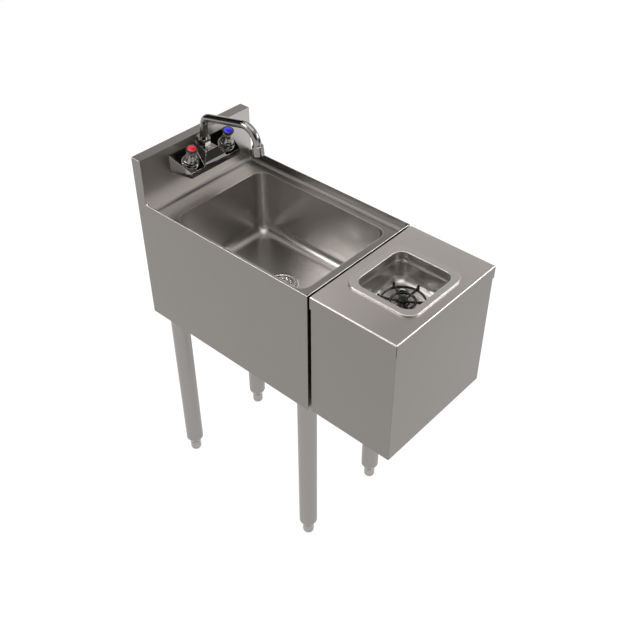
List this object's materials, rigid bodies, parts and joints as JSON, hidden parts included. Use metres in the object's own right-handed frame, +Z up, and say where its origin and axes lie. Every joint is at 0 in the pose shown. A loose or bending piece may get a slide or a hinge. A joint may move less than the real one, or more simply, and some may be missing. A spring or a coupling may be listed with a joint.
{
  "type": "underbar glass rinser with hand sink",
  "caption": "Narrow stainless bar sink cabinet on tubular legs, with a two-handle swing-spout faucet and a bolted-on box holding a press-star glass rinser pan.",
  "frame": {"origin": "on the floor under the middle of the whole object's width and depth", "axes": "+Z up, +Y towards the wall behind the splash, +X to the right of someone who stands at the rinser"},
  "size_m": [0.3048, 0.673, 0.9429],
  "materials": {
    "stainless": "brushed",
    "chrome": "polished",
    "brass": "machined",
    "rubber": "matt",
    "black_plastic": "satin, moulded",
    "red_plastic": "gloss",
    "blue_plastic": "gloss"
  },
  "bodies": {
    "base": {"deck_splash": "stainless", "sink_bowl": "stainless", "left_panel": "stainless", "right_panel": "stainless", "front_panel": "stainless", "front_leg_rail": "stainless", "rear_leg_rail": "stainless", "leg_sockets": "stainless", "socket_screws": "stainless", "leg_front_left": "stainless", "leg_front_right": "stainless", "leg_rear_left": "stainless", "leg_rear_right": "stainless", "foot_collars": "stainless", "drain_body": "chrome", "drain_gasket": "rubber", "drain_locknut": "brass", "drain_tailpiece": "chrome", "tailpiece_nut": "chrome", "faucet_body": "chrome", "faucet_gasket": "rubber", "faucet_shanks": "brass", "shank_washers": "stainless", "shank_locknuts": "brass", "spout_nut": "chrome", "spout_seal": "rubber", "hot_cartridge": "brass", "cold_cartridge": "brass", "box_cover": "stainless", "box_shell": "stainless", "box_back": "stainless", "box_bolts": "stainless", "box_spacers": "stainless", "rinser_pan": "stainless", "pan_drain_body": "chrome", "pan_drain_nut": "brass", "rinser_valve_body": "chrome", "rinser_gasket": "rubber", "rinser_locknut": "brass", "rinser_spring": "stainless", "rinser_inlet": "brass"},
    "foot_fl": {"foot_front_left": "stainless"},
    "foot_fr": {"foot_front_right": "stainless"},
    "foot_rl": {"foot_rear_left": "stainless"},
    "foot_rr": {"foot_rear_right": "stainless"},
    "swing_spout": {"spout": "chrome", "aerator": "chrome", "aerator_screen": "stainless"},
    "hot_control": {"hot_stem": "brass", "hot_handle": "chrome", "hot_index_ring": "black_plastic", "hot_index_button": "red_plastic"},
    "cold_control": {"cold_stem": "brass", "cold_handle": "chrome", "cold_index_ring": "black_plastic", "cold_index_button": "blue_plastic"},
    "star": {"rinser_star": "black_plastic", "rinser_nozzle": "black_plastic", "rinser_stem": "stainless"},
    "basket": {"drain_basket": "stainless"}
  },
  "joints": [
    {"name": "front_left_foot_screw", "type": "slide", "parent": "base", "child": "foot_fl", "axis": [0, 0, -1], "range_m": [0, 0.0254]},
    {"name": "front_right_foot_screw", "type": "slide", "parent": "base", "child": "foot_fr", "axis": [0, 0, -1], "range_m": [0, 0.0254]},
    {"name": "rear_left_foot_screw", "type": "slide", "parent": "base", "child": "foot_rl", "axis": [0, 0, -1], "range_m": [0, 0.0254]},
    {"name": "rear_right_foot_screw", "type": "slide", "parent": "base", "child": "foot_rr", "axis": [0, 0, -1], "range_m": [0, 0.0254]},
    {"name": "spout_swing", "type": "hinge", "parent": "base", "child": "swing_spout", "pos_m": [0, 0.29215, 0.84752], "axis": [0, -0.1564, 0.9877], "range_deg": [-90, 90]},
    {"name": "hot_handle_turn", "type": "hinge", "parent": "base", "child": "hot_control", "pos_m": [-0.0508, 0.27055, 0.8652], "axis": [0, -0.2419, 0.9703], "range_deg": [0, 90]},
    {"name": "cold_handle_turn", "type": "hinge", "parent": "base", "child": "cold_control", "pos_m": [0.0508, 0.27055, 0.8652], "axis": [0, -0.2419, 0.9703], "range_deg": [-90, 0]},
    {"name": "star_press", "type": "slide", "parent": "base", "child": "star", "axis": [0, 0, -1], "range_m": [0, 0.006], "stiffness_N_per_m": 2000, "springref_m": -0.004, "deforming": ["rinser_spring"]},
    {"name": "basket_lift", "type": "slide", "parent": "base", "child": "basket", "axis": [0, 0, 1], "range_m": [0, 0.12]}
  ]
}
